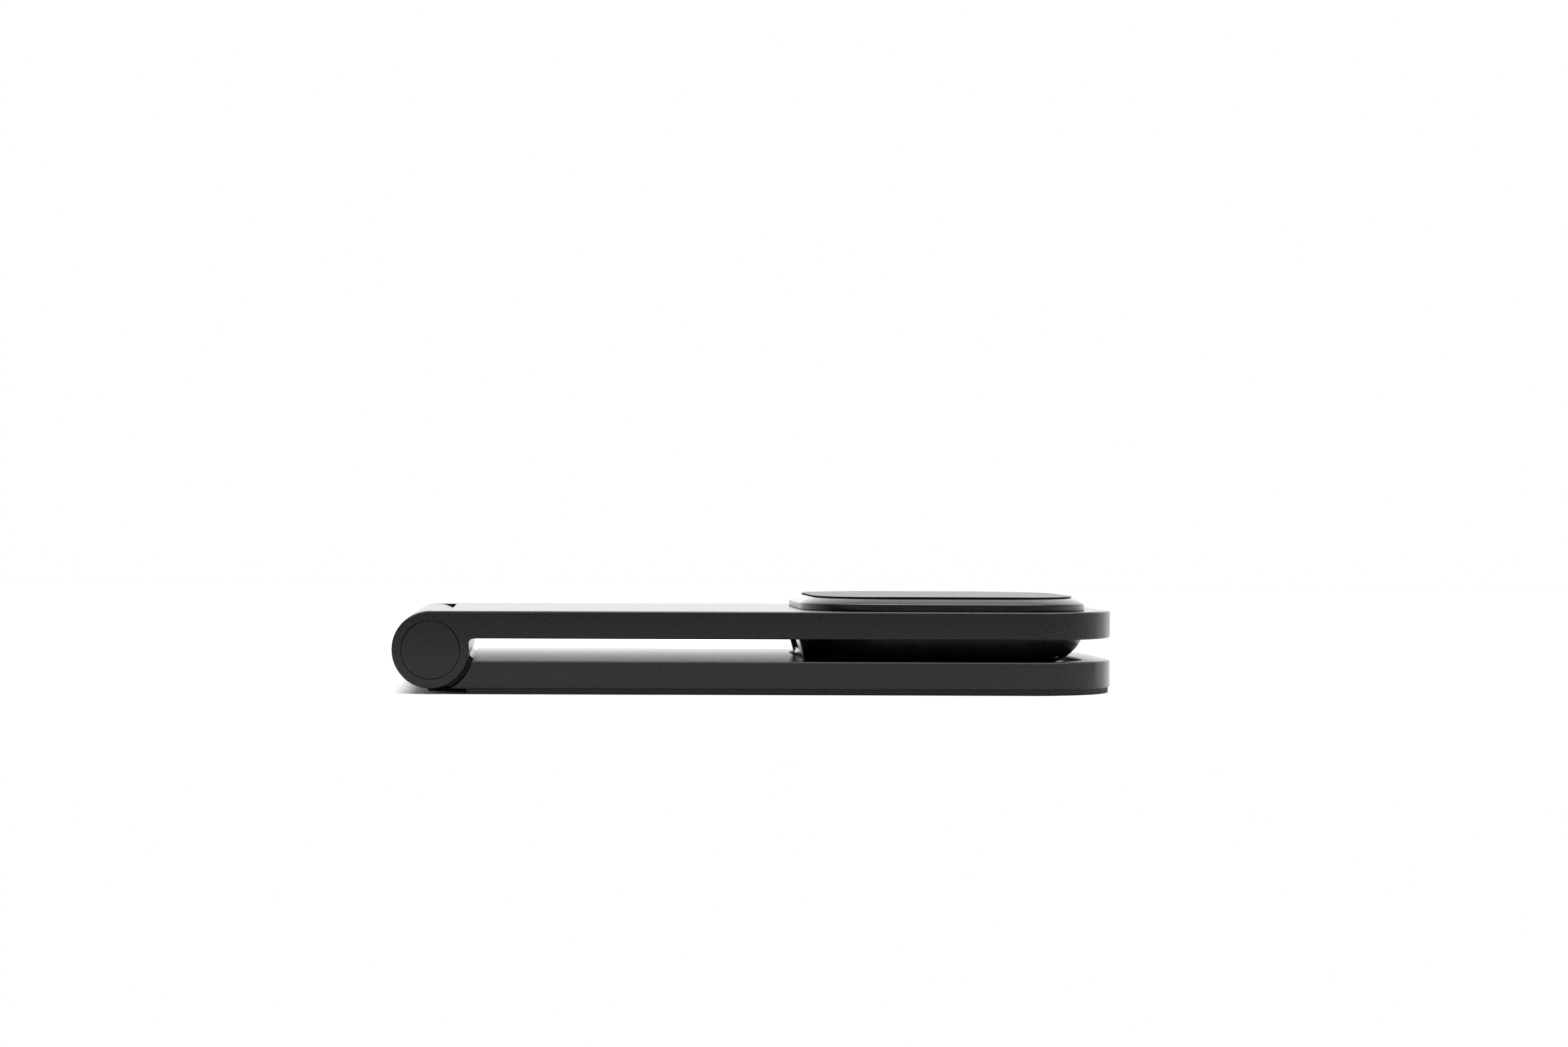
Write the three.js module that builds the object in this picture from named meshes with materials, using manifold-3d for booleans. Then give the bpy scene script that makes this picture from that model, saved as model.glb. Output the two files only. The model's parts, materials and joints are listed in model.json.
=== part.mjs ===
// A folding stand: a base plate on a rubber sole, an arm plate of the same size above it, a barrel
// friction hinge that joins their left ends, and a magnetic charging puck clamped in the arm's right end.
// Millimetres, +Z up. X runs from the hinge to the free ends, Y along the hinge axis (front is -Y).
// It is modelled folded flat. The origin is the middle of the footprint, on the surface it stands on.
import * as THREE from "three";
import { mergeVertices } from "three/addons/utils/BufferGeometryUtils.js";
import Module from "manifold-3d";

const wasm = await Module();
wasm.setup();

// ---------------------------------------------------------------- driving dimensions
const PLATE_T = 5.7; // thickness of the base plate and of the arm plate
const PLATE_GAP = 4.6; // clear height between the folded plates
const SOLE_T = 1.1; // rubber sole
const ARM_REACH = 108; // hinge axis to the middle of the puck
const END_MARGIN = 5.3; // puck's right side to the ends of the plates
const SIDE_MARGIN = 1.65; // puck's front or back side to the side of the arm
const END_CORNER_R = 19; // plan corners at the free ends
const EDGE_CHAMFER = 0.25; // machined chamfer along the plates' edges
const SKIN = 0.05; // gap between pieces that rest on each other

const LUG_T = 11; // thickness of each hinge lug of the arm, along Y
const LUG_RIM = 1.93; // hinge cap's edge to the lug's edge
const SIDE_PLAY = 0.3; // lug to knuckle, along Y
const SWING_CLEARANCE = 1; // round lug or knuckle to the hollow cut round it
const ROOT_FILLET = 1; // where a lug or knuckle runs into its plate
const CAP_T = 1.4; // hinge cap
const SHAFT_R = 2.5; // hinge shaft
const SLEEVE_WALL = 1.5; // friction sleeve
const SLEEVE_SLIT = 1; // slit along the sleeve that lets it spring
const RUN_FIT = 0.05; // radial clearance on the hinge shaft
const WASHER_T = 0.7; // thrust washer
const WASHER_PROUD = 0.15; // how far the washer stands out of its recess
const WASHER_RIM = 2.8; // washer's outer edge beyond the shaft
const CLIP_T = 0.6; // retaining clip
const CLIP_RIM = 0.9; // clip's outer edge beyond the shaft
const CLIP_GROOVE = 0.4; // depth of its groove
const GRUB_R = 1.5; // grub screw that locks the shaft in the knuckle
const GRUB_INSET = 10; // grub screw to the knuckle's end

const RING_R = 27; // outer radius of the magnet ring
const RING_W = 4; // its radial width
const RING_T = 2;
const YOKE_T = 0.5; // steel ring behind the magnets
const COIL_T = 1.2;
const COIL_HOLE_R = 10;
const SHIELD_T = 0.8; // ferrite
const CARRIER_T = 0.85; // plastic carrier under coil and magnets
const INNER_CLEARANCE = 0.2; // between pieces inside the puck
const SPIGOT_WALL = 1.2; // wall that passes through the arm's opening
const SEAT_CLEARANCE = 0.2; // spigot to the edge of the opening
const TOP_OVERLAP = 1.5; // top housing over the arm's rim
const BOWL_OVERLAP = 1; // bowl under the arm's rim
const PUCK_CORNER_R = 18; // plan corner of the top housing
const TOP_SIDE_H = 1.3; // upright side of the top housing
const TOP_FILLET_H = 1.45; // height of the convex fillet above it
const TOP_FILLET_W = 2.8; // width of that fillet
const TOP_WALL = 1.2; // plate under the pad
const PAD_RECESS = 0.95; // depth of the recess for the pad's plug
const PAD_LEDGE = 2; // pad's edge beyond its plug
const PAD_T = 0.25; // pad above the housing
const PAD_OVERHANG = 0.2; // pad's edge beyond the housing's flat top
const BOWL_DROP = 5.9; // arm's underside to the bottom of the bowl
const BOWL_FILLET_W = 12; // width of the bowl's rounded bottom edge
const BOWL_DRAFT = 1.3; // how far the bowl's side leans in from rim to bottom
const BOWL_WALL = 1.5;
const POST_R = 2.3;
const SCREW_R = 1.1;
const SCREW_HEAD_R = 1.9;
const SCREW_HEAD_T = 1.2;
const SCREW_SEAT_DROP = 2.85; // arm's underside to the seat under the screw heads
const SCREW_GRIP = 2.6; // thread inside the top housing's posts
const BOARD_T = 1;
const BOARD_SPREAD = 0.35; // board's edge beyond the flat of the bowl's floor
const PORT_W = 8.7; // USB-C shell, outside
const PORT_H = 2.95;
const PORT_WALL = 0.25;
const PORT_DEPTH = 8.4; // depth of the socket
const PORT_TONGUE_T = 0.7;
const PORT_FIT = 0.1; // shell to the hole for it
const PORT_BOSS_W = 21; // oval fairing round the port
const PORT_BOSS_H = 4.9;

const POCKET_CLEARANCE = 0.85; // bowl to the floor of the pocket in the base
const POCKET_WIDER = 0.5; // pocket's side beyond the arm's opening
const POCKET_FIT = 0.3; // pocket's hinge side beyond the bowl, so that the port's fairing can dip into it
const POCKET_CORNER_R = 14;
const POCKET_FILLET = 1;
const LINER_T = 0.5; // soft liner on the pocket's floor
const LINER_INSET = 0.3; // liner to the pocket's bottom fillet
const BALLAST_T = 1.5; // steel plate in the base's underside
const BALLAST_MARGIN = 7.75; // base's side to the recess for it
const BALLAST_FIT = 0.2;
const BALLAST_SCREW_INSET = 6;
const BALLAST_SCREW_LENGTH = 2.4; // thread in the base plate
const SOLE_INSET = 0.45;
const SOLE_HEEL = 3.2; // sole's left edge to the base's left edge, beside the knuckle
const SOLE_TOE = 1; // sole's reach past the hinge axis, under the knuckle

const ROUND_STEPS = 64; // facets round the hinge
const SMALL_STEPS = 16; // facets round screws and posts
const CORNER_STEPS = 8; // facets on a plan corner
const RING_STEPS = 40; // facets round the rings inside the puck
const FILLET_STEPS = 5;

// ---------------------------------------------------------------- worked-out dimensions
const HINGE_R = PLATE_T + PLATE_GAP / 2; // lugs and knuckle are tangent to the plates' outer faces
const BASE_Z0 = SOLE_T + SKIN;
const BASE_Z1 = BASE_Z0 + PLATE_T;
const HINGE_Z = BASE_Z0 + HINGE_R;
const ARM_Z0 = PLATE_GAP / 2; // the arm's heights are measured from the hinge axis
const ARM_Z1 = HINGE_R;

const SPIGOT_HALF = RING_R + INNER_CLEARANCE + SPIGOT_WALL;
const OPENING_HALF = SPIGOT_HALF + SEAT_CLEARANCE;
const PUCK_HALF = OPENING_HALF + TOP_OVERLAP;
const BOWL_HALF = OPENING_HALF + BOWL_OVERLAP;
const POCKET_HALF = OPENING_HALF + POCKET_WIDER;
const HALF_WIDTH = PUCK_HALF + SIDE_MARGIN;
const END_X = ARM_REACH + PUCK_HALF + END_MARGIN; // from the hinge axis
const LENGTH = HINGE_R + END_X;

const LUG_INNER = HALF_WIDTH - LUG_T;
const KNUCKLE_HALF = LUG_INNER - SIDE_PLAY;
const HOLLOW_R = HINGE_R + SWING_CLEARANCE;
const CAP_R = HINGE_R - LUG_RIM;
const SLEEVE_R = SHAFT_R + RUN_FIT + SLEEVE_WALL;
const WASHER_R = SHAFT_R + WASHER_RIM;

const TOP_Z = ARM_Z1 + TOP_SIDE_H + TOP_FILLET_H;
const TOP_FLAT_HALF = PUCK_HALF - TOP_FILLET_W;
const PAD_HALF = TOP_FLAT_HALF + PAD_OVERHANG;
const PLUG_HALF = PAD_HALF - PAD_LEDGE;
const CEILING_Z = TOP_Z - PAD_RECESS - TOP_WALL; // underside of the plate under the pad
const SPIGOT_SPLIT = (ARM_Z0 + ARM_Z1) / 2; // where the two housings' spigots meet
const BOWL_Z0 = ARM_Z0 - BOWL_DROP;
const BOWL_FLOOR = BOWL_Z0 + BOWL_WALL;
const BOWL_FLOOR_HALF = BOWL_HALF - BOWL_FILLET_W;
const POST_AT = (RING_R + INNER_CLEARANCE + POST_R) / Math.SQRT2; // in the corners, clear of the magnet ring
const SCREW_SEAT = ARM_Z0 - SCREW_SEAT_DROP;
const BOARD_TOP = BOWL_FLOOR + SKIN + BOARD_T;
const PORT_Z = BOARD_TOP + SKIN + PORT_H / 2; // the port stands on the board

const POCKET_FLOOR = HINGE_Z + BOWL_Z0 - POCKET_CLEARANCE;
const BALLAST_X0 = HINGE_R + ROOT_FILLET + BALLAST_MARGIN;
const BALLAST_X1 = END_X - BALLAST_MARGIN;
const BALLAST_HALF = HALF_WIDTH - BALLAST_MARGIN;
const BALLAST_CORNER_R = END_CORNER_R - BALLAST_MARGIN;
const BALLAST_TOP = BASE_Z0 + SKIN + BALLAST_T;
const BALLAST_SCREWS_X = [BALLAST_X0 + BALLAST_SCREW_INSET, ARM_REACH - PUCK_HALF - BALLAST_SCREW_INSET];
const BALLAST_SCREWS_Y = BALLAST_HALF - BALLAST_SCREW_INSET;

// ---------------------------------------------------------------- solids from three.js geometry

// A geometry as a manifold-3d solid, with its shared vertices merged and slivers dropped.
function solid(geometry) {
  const bare = geometry.clone();
  bare.deleteAttribute("normal");
  bare.deleteAttribute("uv");
  const merged = mergeVertices(bare, 1e-4);
  const old = merged.index.array;
  const kept = [];
  for (let i = 0; i < old.length; i += 3) {
    const [a, b, c] = [old[i], old[i + 1], old[i + 2]];
    if (a !== b && b !== c && c !== a) kept.push(a, b, c);
  }
  return new wasm.Manifold(
    new wasm.Mesh({
      numProp: 3,
      vertProperties: merged.getAttribute("position").array,
      triVerts: new Uint32Array(kept),
    }),
  );
}

function geometryOf(made) {
  const { vertProperties, triVerts } = made.getMesh();
  const geometry = new THREE.BufferGeometry();
  geometry.setAttribute("position", new THREE.BufferAttribute(vertProperties, 3));
  geometry.setIndex(new THREE.BufferAttribute(triVerts, 1));
  geometry.computeVertexNormals();
  return geometry;
}

function union(...solids) {
  return solids.reduce((sum, next) => sum.add(next));
}

function cut(body, ...tools) {
  return tools.reduce((rest, tool) => rest.subtract(tool), body);
}

function block(x0, x1, y0, y1, z0, z1) {
  const box = new THREE.BoxGeometry(x1 - x0, y1 - y0, z1 - z0);
  return solid(box.translate((x0 + x1) / 2, (y0 + y1) / 2, (z0 + z1) / 2));
}

// A cylinder along Y on the hinge axis at height z.
function rod(r, y0, y1, z = 0, steps = ROUND_STEPS) {
  const cylinder = new THREE.CylinderGeometry(r, r, y1 - y0, steps);
  return solid(cylinder.translate(0, (y0 + y1) / 2, z));
}

// An upright cylinder or cone.
function post(x, y, z0, z1, r, topR = r) {
  const cylinder = new THREE.CylinderGeometry(topR, r, z1 - z0, SMALL_STEPS);
  return solid(cylinder.rotateX(Math.PI / 2).translate(x, y, (z0 + z1) / 2));
}

// A body turned about Y from a closed profile of [radius, y] points.
function turned(profile, steps = ROUND_STEPS) {
  const points = profile.map(([r, y]) => new THREE.Vector2(r, y));
  return solid(new THREE.LatheGeometry([...points, points[0]], steps));
}

// The same about an upright axis at x.
function turnedUpright(profile, x, steps = RING_STEPS) {
  const points = profile.map(([r, z]) => new THREE.Vector2(r, z));
  const lathe = new THREE.LatheGeometry([...points, points[0]], steps);
  return solid(lathe.rotateX(Math.PI / 2).translate(x, 0, 0));
}

function upright(ring, x) {
  return turnedUpright(
    [
      [ring.inner, ring.z0],
      [ring.outer, ring.z0],
      [ring.outer, ring.z1],
      [ring.inner, ring.z1],
    ],
    x,
  );
}

function arcPoints(cx, cy, r, from, to, steps) {
  const points = [];
  for (let i = 0; i <= steps; i++) {
    const a = from + ((to - from) * i) / steps;
    points.push(new THREE.Vector2(cx + r * Math.cos(a), cy + r * Math.sin(a)));
  }
  return points;
}

// A rectangle with round corners, anticlockwise from the front right, as points.
// The left corners may have a radius of their own.
function outline(x0, x1, half, r, leftR = r, steps = CORNER_STEPS) {
  const quarter = Math.PI / 2;
  return [
    ...arcPoints(x1 - r, r - half, r, -quarter, 0, steps),
    ...arcPoints(x1 - r, half - r, r, 0, quarter, steps),
    ...arcPoints(x0 + leftR, half - leftR, leftR, quarter, 2 * quarter, steps),
    ...arcPoints(x0 + leftR, leftR - half, leftR, 2 * quarter, 3 * quarter, steps),
  ];
}

// A square of the puck's shape about the puck's middle: its corners share the top housing's centres.
function puckOutline(half, steps = CORNER_STEPS) {
  const r = Math.max(half - PUCK_HALF + PUCK_CORNER_R, 1);
  return outline(ARM_REACH - half, ARM_REACH + half, half, r, r, steps);
}

// A closed body through outlines with equally many points, [z, points] from the bottom up.
function loft(levels) {
  const n = levels[0][1].length;
  const position = levels.flatMap(([z, points]) => points.flatMap((p) => [p.x, p.y, z]));
  const index = [];
  for (let k = 0; k + 1 < levels.length; k++)
    for (let i = 0; i < n; i++) {
      const a = k * n + i;
      const b = k * n + ((i + 1) % n);
      index.push(a, b, b + n, a, b + n, a + n);
    }
  const top = (levels.length - 1) * n;
  for (const [a, b, c] of THREE.ShapeUtils.triangulateShape(levels[0][1], []))
    index.push(a, c, b, top + a, top + b, top + c);
  const geometry = new THREE.BufferGeometry();
  geometry.setAttribute("position", new THREE.Float32BufferAttribute(position, 3));
  geometry.setIndex(index);
  return solid(geometry);
}

function puckPrism(half, z0, z1) {
  return loft([
    [z0, puckOutline(half)],
    [z1, puckOutline(half)],
  ]);
}

// A plate with round corners at its free end and a chamfer round both faces.
function plate(x0, z0, z1) {
  const c = EDGE_CHAMFER;
  const wide = outline(x0, END_X, HALF_WIDTH, END_CORNER_R, 1);
  const narrow = outline(x0 + c, END_X - c, HALF_WIDTH - c, END_CORNER_R - c, 1 - c);
  return loft([
    [z0, narrow],
    [z0 + c, wide],
    [z1 - c, wide],
    [z1, narrow],
  ]);
}

// A profile in X and Z carried along Y from y0 to y1, with its edges chamfered.
function alongY(points, y0, y1) {
  const extrusion = new THREE.ExtrudeGeometry(new THREE.Shape(points), {
    depth: y1 - y0 - 2 * EDGE_CHAMFER,
    bevelThickness: EDGE_CHAMFER,
    bevelSize: EDGE_CHAMFER,
    bevelOffset: -EDGE_CHAMFER,
    bevelSegments: 1,
  });
  return solid(extrusion.rotateX(Math.PI / 2).translate(0, y1 - EDGE_CHAMFER, 0));
}

// A profile in Y and Z, about the port's middle, carried along X.
function alongX(points, x0, x1) {
  const extrusion = new THREE.ExtrudeGeometry(new THREE.Shape(points), {
    depth: x1 - x0,
    bevelEnabled: false,
  });
  const [x, y, z] = [new THREE.Vector3(1, 0, 0), new THREE.Vector3(0, 1, 0), new THREE.Vector3(0, 0, 1)];
  return solid(extrusion.applyMatrix4(new THREE.Matrix4().makeBasis(y, z, x)).translate(x0, 0, PORT_Z));
}

// The hinge barrel with the strip of plate that leaves it at a tangent, seen from the front.
// side is +1 where the plate is above the axis and -1 where it is below.
function barrelProfile(side) {
  const strip = HINGE_R + ROOT_FILLET + 3 * SWING_CLEARANCE;
  const face = PLATE_GAP / 2;
  const centreZ = face - ROOT_FILLET;
  const centreX = Math.sqrt((HINGE_R + ROOT_FILLET) ** 2 - centreZ ** 2);
  const lean = Math.atan2(centreZ, centreX);
  const barrel = arcPoints(0, 0, HINGE_R, Math.PI / 2, 2 * Math.PI + lean, ROUND_STEPS);
  const fillet = arcPoints(centreX, centreZ, ROOT_FILLET, Math.PI + lean, Math.PI / 2, FILLET_STEPS);
  const corners = [new THREE.Vector2(strip, face), new THREE.Vector2(strip, HINGE_R)];
  const points = [...barrel, ...fillet.slice(1), ...corners];
  return side > 0 ? points : points.map((p) => new THREE.Vector2(p.x, -p.y)).reverse();
}

// ---------------------------------------------------------------- base

function basePlate() {
  const holes = [];
  for (const y of [GRUB_INSET - KNUCKLE_HALF, KNUCKLE_HALF - GRUB_INSET])
    holes.push(post(0, y, BASE_Z0 - 1, HINGE_Z, GRUB_R + RUN_FIT));
  for (const [x, y] of ballastScrewPlaces())
    holes.push(post(x, y, BASE_Z0, BALLAST_TOP + BALLAST_SCREW_LENGTH + 0.2, SCREW_R + RUN_FIT));
  const lugHollows = [
    rod(HOLLOW_R, -HALF_WIDTH - 1, -KNUCKLE_HALF, HINGE_Z),
    rod(HOLLOW_R, KNUCKLE_HALF, HALF_WIDTH + 1, HINGE_Z),
  ];
  const knuckle = alongY(barrelProfile(-1), -KNUCKLE_HALF, KNUCKLE_HALF).translate([0, 0, HINGE_Z]);
  return cut(
    union(cut(plate(SWING_CLEARANCE, BASE_Z0, BASE_Z1), ...lugHollows), knuckle),
    rod(SHAFT_R + RUN_FIT, -HALF_WIDTH, HALF_WIDTH, HINGE_Z, SMALL_STEPS),
    pocket(),
    loft(ballastLevels(0, BASE_Z0 - 1, BALLAST_TOP + SKIN)),
    ...holes,
  );
}

// The pocket that takes the bowl when the stand is folded, with a chamfered rim and a filleted floor.
function pocket() {
  const levels = [];
  for (let i = 0; i <= FILLET_STEPS; i++) {
    const a = (Math.PI / 2) * (i / FILLET_STEPS);
    const inset = POCKET_FILLET * (1 - Math.sin(a));
    levels.push([POCKET_FLOOR + POCKET_FILLET * (1 - Math.cos(a)), pocketOutline(inset)]);
  }
  levels.push([BASE_Z1 - EDGE_CHAMFER, pocketOutline(0)]);
  levels.push([BASE_Z1 + EDGE_CHAMFER, pocketOutline(-2 * EDGE_CHAMFER)]);
  return loft(levels);
}

function pocketOutline(inset) {
  const half = POCKET_HALF - inset;
  const hingeSide = ARM_REACH - BOWL_HALF - POCKET_FIT + inset;
  return outline(hingeSide, ARM_REACH + half, half, POCKET_CORNER_R - inset);
}

function pocketLiner() {
  const shape = pocketOutline(POCKET_FILLET + LINER_INSET);
  return loft([
    [POCKET_FLOOR + SKIN, shape],
    [POCKET_FLOOR + LINER_T, shape],
  ]);
}

function ballastLevels(inset, z0, z1) {
  const shape = outline(
    BALLAST_X0 + inset,
    BALLAST_X1 - inset,
    BALLAST_HALF - inset,
    BALLAST_CORNER_R - inset,
    2,
  );
  return [
    [z0, shape],
    [z1, shape],
  ];
}

function ballastScrewPlaces() {
  return BALLAST_SCREWS_X.flatMap((x) => [-BALLAST_SCREWS_Y, BALLAST_SCREWS_Y].map((y) => [x, y]));
}

function ballastPlate() {
  const z0 = BASE_Z0 + SKIN;
  const sinks = ballastScrewPlaces().flatMap(([x, y]) => [
    post(x, y, z0 - 1, BALLAST_TOP + 1, SCREW_R + RUN_FIT),
    post(x, y, z0 - SKIN, z0 + SCREW_HEAD_T, SCREW_HEAD_R + SKIN, SCREW_R + RUN_FIT),
  ]);
  return cut(loft(ballastLevels(BALLAST_FIT, z0, BALLAST_TOP)), ...sinks);
}

function ballastScrew([x, y]) {
  const z0 = BASE_Z0 + SKIN;
  const head = post(x, y, z0, z0 + SCREW_HEAD_T - SKIN, SCREW_HEAD_R - SKIN, SCREW_R);
  return union(head, post(x, y, z0 + SKIN, BALLAST_TOP + BALLAST_SCREW_LENGTH, SCREW_R));
}

function baseSole() {
  const rear = Math.sqrt(HOLLOW_R ** 2 - HINGE_R ** 2) + SOLE_HEEL;
  const c = EDGE_CHAMFER;
  const half = HALF_WIDTH - SOLE_INSET;
  const r = END_CORNER_R - SOLE_INSET;
  const end = END_X - SOLE_INSET;
  const main = loft([
    [0, outline(rear + c, end - c, half - c, r - c, 1)],
    [c, outline(rear, end, half, r, 1)],
    [SOLE_T, outline(rear, end, half, r, 1)],
  ]);
  const toeHalf = KNUCKLE_HALF - SOLE_INSET;
  const toe = loft([
    [0, outline(-SOLE_TOE + c, rear + r, toeHalf - c, 1)],
    [c, outline(-SOLE_TOE, rear + r, toeHalf, 1)],
    [SOLE_T, outline(-SOLE_TOE, rear + r, toeHalf, 1)],
  ]);
  return union(main, toe);
}

// ---------------------------------------------------------------- hinge, about the hinge axis

const CAP_INNER = HALF_WIDTH - CAP_T; // where the cap's recess ends
const CLIP_Y = CAP_INNER - SHAFT_R / 2 - CLIP_T; // near face of the far clip
const SHAFT_HALF = CAP_INNER - SHAFT_R / 4;
const SLEEVE_Y0 = LUG_INNER + WASHER_T + INNER_CLEARANCE;
const SLEEVE_Y1 = CLIP_Y - INNER_CLEARANCE;

function hingeShaft() {
  const grooveR = SHAFT_R - CLIP_GROOVE;
  const far = [
    [SHAFT_R, CLIP_Y - SKIN],
    [grooveR, CLIP_Y - SKIN],
    [grooveR, CLIP_Y + CLIP_T + SKIN],
    [SHAFT_R, CLIP_Y + CLIP_T + SKIN],
    [SHAFT_R, SHAFT_HALF - EDGE_CHAMFER],
    [SHAFT_R - EDGE_CHAMFER, SHAFT_HALF],
    [0, SHAFT_HALF],
  ];
  const near = far.map(([r, y]) => [r, -y]).reverse();
  return turned([...near, ...far], SMALL_STEPS);
}

function grubScrew(y) {
  return post(0, y, -HINGE_R + GRUB_R / 2, -SHAFT_R - SKIN, GRUB_R);
}

// Pieces of the far lug (side 1) or the near lug (side -1).
function bush(side, inner, outer, y0, y1, steps) {
  const [low, high] = side > 0 ? [y0, y1] : [-y1, -y0];
  const profile = [
    [inner, low],
    [outer, low],
    [outer, high],
    [inner, high],
  ];
  return turned(profile, steps);
}

function frictionSleeve(side) {
  const sleeve = bush(side, SHAFT_R + RUN_FIT, SLEEVE_R, SLEEVE_Y0, SLEEVE_Y1, SMALL_STEPS);
  const slit = SLEEVE_SLIT / 2;
  return cut(sleeve, block(0, HINGE_R, -HALF_WIDTH, HALF_WIDTH, -slit, slit));
}

function thrustWasher(side) {
  const y0 = LUG_INNER - WASHER_PROUD;
  return bush(side, SHAFT_R + 2 * RUN_FIT, WASHER_R, y0, y0 + WASHER_T, SMALL_STEPS);
}

function shaftClip(side) {
  const inner = SHAFT_R - CLIP_GROOVE + RUN_FIT;
  const ring = bush(side, inner, SHAFT_R + CLIP_RIM, CLIP_Y, CLIP_Y + CLIP_T, SMALL_STEPS);
  return cut(ring, block(-inner, inner, -HALF_WIDTH, HALF_WIDTH, 0, HINGE_R));
}

function hingeCap(side) {
  const y = (depth) => side * (HALF_WIDTH - depth);
  const c = EDGE_CHAMFER / 2;
  const profile = [
    [0, y(CAP_T - SKIN)],
    [CAP_R - c, y(CAP_T - SKIN)],
    [CAP_R, y(CAP_T - SKIN - c)],
    [CAP_R, y(c)],
    [CAP_R - c, y(0)],
    [0, y(0)],
  ];
  return turned(side > 0 ? profile : profile.reverse());
}

// ---------------------------------------------------------------- arm, heights from the hinge axis

function armPlate() {
  const slot = rod(HOLLOW_R, -LUG_INNER, LUG_INNER);
  const lugs = [
    alongY(barrelProfile(1), -HALF_WIDTH, -LUG_INNER),
    alongY(barrelProfile(1), LUG_INNER, HALF_WIDTH),
  ];
  const bores = [-1, 1].flatMap((side) => {
    const span = (r, y0, y1) => (side > 0 ? rod(r, y0, y1) : rod(r, -y1, -y0));
    return [
      span(SLEEVE_R + RUN_FIT, LUG_INNER - 1, HALF_WIDTH),
      span(CAP_R + SKIN, CAP_INNER, HALF_WIDTH + 1),
      span(WASHER_R + RUN_FIT, LUG_INNER - 1, LUG_INNER + WASHER_T),
    ];
  });
  const opening = puckPrism(OPENING_HALF, ARM_Z0 - 1, ARM_Z1 + 1);
  return cut(union(cut(plate(SWING_CLEARANCE, ARM_Z0, ARM_Z1), slot), ...lugs), ...bores, opening);
}

// ---------------------------------------------------------------- puck, heights from the hinge axis

function postPlaces() {
  return [-POST_AT, POST_AT].flatMap((x) => [-POST_AT, POST_AT].map((y) => [ARM_REACH + x, y]));
}

function puckTopHousing() {
  const levels = [[ARM_Z1 + SKIN, puckOutline(PUCK_HALF)]];
  for (let i = 0; i <= FILLET_STEPS; i++) {
    const a = (Math.PI / 2) * (i / FILLET_STEPS);
    const half = PUCK_HALF - TOP_FILLET_W * (1 - Math.cos(a));
    levels.push([ARM_Z1 + TOP_SIDE_H + TOP_FILLET_H * Math.sin(a), puckOutline(half)]);
  }
  const inner = SPIGOT_HALF - SPIGOT_WALL;
  const shell = cut(
    union(loft(levels), puckPrism(SPIGOT_HALF, SPIGOT_SPLIT + SKIN, ARM_Z1 + TOP_SIDE_H)),
    puckPrism(inner, SPIGOT_SPLIT - 1, CEILING_Z),
    puckPrism(PLUG_HALF + SKIN, TOP_Z - PAD_RECESS, TOP_Z + 1),
  );
  const posts = postPlaces().map(([x, y]) => post(x, y, ARM_Z0 + 3 * SKIN, CEILING_Z + TOP_WALL / 2, POST_R));
  const threads = postPlaces().map(([x, y]) =>
    post(x, y, ARM_Z0 - 1, ARM_Z0 + SCREW_GRIP + 0.2, SCREW_R + RUN_FIT),
  );
  return cut(union(shell, ...posts), ...threads);
}

function puckPad() {
  const flatTop = TOP_Z + SKIN + PAD_T;
  const c = PAD_T / 3;
  return union(
    puckPrism(PLUG_HALF, TOP_Z - PAD_RECESS + SKIN, TOP_Z + 2 * SKIN),
    loft([
      [TOP_Z + SKIN, puckOutline(PAD_HALF)],
      [flatTop - c, puckOutline(PAD_HALF)],
      [flatTop, puckOutline(PAD_HALF - c)],
    ]),
  );
}

// Half width of the bowl at a height: a side that leans in, and ends in an ellipse at the floor.
function bowlLevels(floor, rim, floorHalf, rimHalf) {
  const levels = [];
  const steps = FILLET_STEPS + 3;
  for (let i = 0; i <= steps; i++) {
    const a = (Math.PI / 2) * (i / steps);
    const round = (rimHalf - BOWL_DRAFT - floorHalf) * (1 - Math.sin(a));
    const half = rimHalf - BOWL_DRAFT * Math.cos(a) - round;
    levels.push([rim - (rim - floor) * Math.cos(a), puckOutline(half)]);
  }
  return levels;
}

function portOval(width, height) {
  const points = arcPoints(0, 0, width / 2, 0, 2 * Math.PI, SMALL_STEPS).slice(1);
  return points.map((p) => new THREE.Vector2(p.x, (p.y * height) / width));
}

// The socket's outline: a rectangle with half-round ends, in Y and Z.
function portOutline(width, height) {
  return outline(-width / 2, width / 2, height / 2, height / 2 - SKIN, height / 2 - SKIN, 4);
}

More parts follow.
